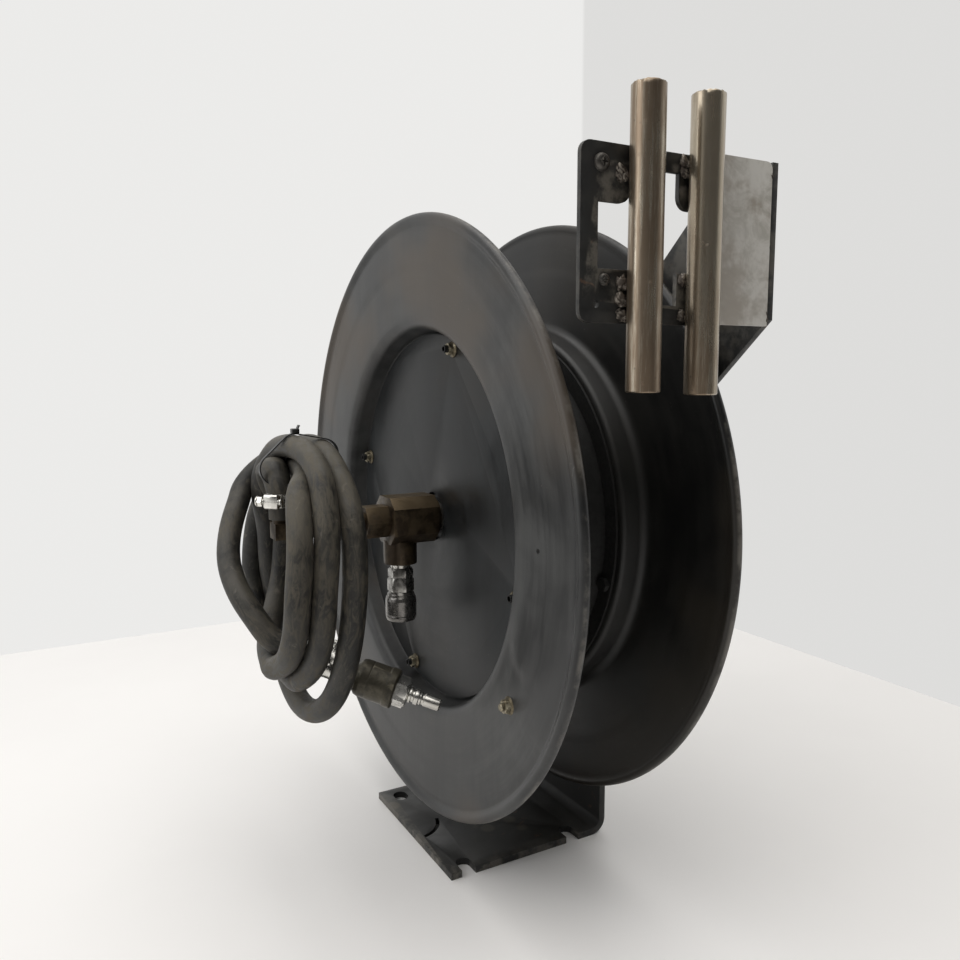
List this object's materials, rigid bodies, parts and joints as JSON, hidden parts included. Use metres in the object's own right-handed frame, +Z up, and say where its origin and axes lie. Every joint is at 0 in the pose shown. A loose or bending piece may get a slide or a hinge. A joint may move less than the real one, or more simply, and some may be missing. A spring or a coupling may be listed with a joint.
{
  "type": "spring-rewind hose reel",
  "caption": "Spring-rewind air hose reel: twin pressed discs on a one-sided foot and post, with a pipe hose guide and a coiled inlet hose.",
  "frame": {"origin": "centre of the foot plate's underside, on the floor", "axes": "+X along the axle from the inlet fittings to the post, -Y towards the hose guide, +Z up"},
  "size_m": [0.3345, 0.5186, 0.585],
  "materials": {
    "foot_paint": "worn satin black paint with dust",
    "disc_paint": "dull satin black paint, scuffed",
    "drum_paint": "satin black paint",
    "bare_tube_steel": "bare drawn steel with brown heat tint",
    "weathered_plate": "dull mottled bare plate",
    "weld_metal": "rough weld bead",
    "machined_steel": "machined",
    "spring_steel": "oiled spring steel",
    "olive_fasteners": "dirty yellow-zinc plating",
    "aged_brass": "dark tarnished brass",
    "coupler_steel": "grimy plated steel",
    "olive_fitting": "dirty olive plating",
    "bright_plating": "bright plating with grime",
    "hose_rubber": "dusty black rubber",
    "tie_plastic": "black nylon"
  },
  "bodies": {
    "root": {"base_post": "foot_paint", "axle_flange": "foot_paint", "flange_bolts": "olive_fasteners", "axle": "machined_steel", "axle_washer": "machined_steel", "axle_nut": "olive_fasteners", "guide_arm": "foot_paint", "guide_frame": "foot_paint", "guide_side_plate": "weathered_plate", "guide_tube_left": "bare_tube_steel", "guide_tube_right": "bare_tube_steel", "guide_screws": "olive_fasteners", "guide_welds": "weld_metal", "spring_arbor": "machined_steel", "power_spring": "spring_steel", "pawl_pin": "machined_steel", "pawl_spring": "spring_steel", "inlet_tee": "aged_brass", "tee_bushing": "aged_brass", "inlet_nipple": "aged_brass", "barb_elbow": "aged_brass", "coupler_adapter": "coupler_steel", "coupler_body": "coupler_steel", "valve_spring": "spring_steel", "sleeve_spring": "spring_steel", "elbow_clamp": "bright_plating", "hose_lead": "hose_rubber", "hose_coil": "hose_rubber", "hose_tail": "hose_rubber", "tail_clamp": "bright_plating", "hose_end_body": "olive_fitting", "plug_nut": "bright_plating", "air_plug": "bright_plating", "cable_tie": "tie_plastic"},
    "spool": {"near_disc": "disc_paint", "far_disc": "disc_paint", "drum": "drum_paint", "near_cover": "disc_paint", "far_cover": "disc_paint", "cover_bolts": "olive_fasteners", "cover_nuts": "olive_fasteners", "rim_bolt": "olive_fasteners", "hub_tube": "drum_paint", "near_bearing_ring": "machined_steel", "near_bushing": "aged_brass", "far_bearing_ring": "machined_steel", "far_bushing": "aged_brass", "spring_case": "drum_paint", "spring_lid": "drum_paint", "ratchet_wheel": "machined_steel", "swivel_housing": "aged_brass", "swivel_seals": "hose_rubber", "outlet_riser": "aged_brass", "outlet_fitting": "aged_brass"},
    "pawl": {"latch_pawl": "machined_steel"},
    "coupler_sleeve": {"coupler_sleeve": "coupler_steel"},
    "coupler_valve": {"coupler_valve": "aged_brass"}
  },
  "joints": [
    {"name": "spool_spin", "type": "hinge", "parent": "root", "child": "spool", "pos_m": [0, 0, 0.292], "axis": [1, 0, 0], "continuous": true},
    {"name": "pawl_swing", "type": "hinge", "parent": "root", "child": "pawl", "pos_m": [0.034, 0.012, 0.376], "axis": [1, 0, 0], "range_deg": [0, 25], "stiffness_Nm_per_rad": 0.3, "springref_deg": -11.46},
    {"name": "sleeve_slide", "type": "slide", "parent": "root", "child": "coupler_sleeve", "axis": [0, 0, 1], "range_m": [0, 0.0035], "stiffness_N_per_m": 500, "springref_m": -0.003, "deforming": ["sleeve_spring"]},
    {"name": "valve_slide", "type": "slide", "parent": "root", "child": "coupler_valve", "axis": [0, 0, 1], "range_m": [0, 0.003], "stiffness_N_per_m": 300, "springref_m": -0.003, "deforming": ["valve_spring"]}
  ]
}
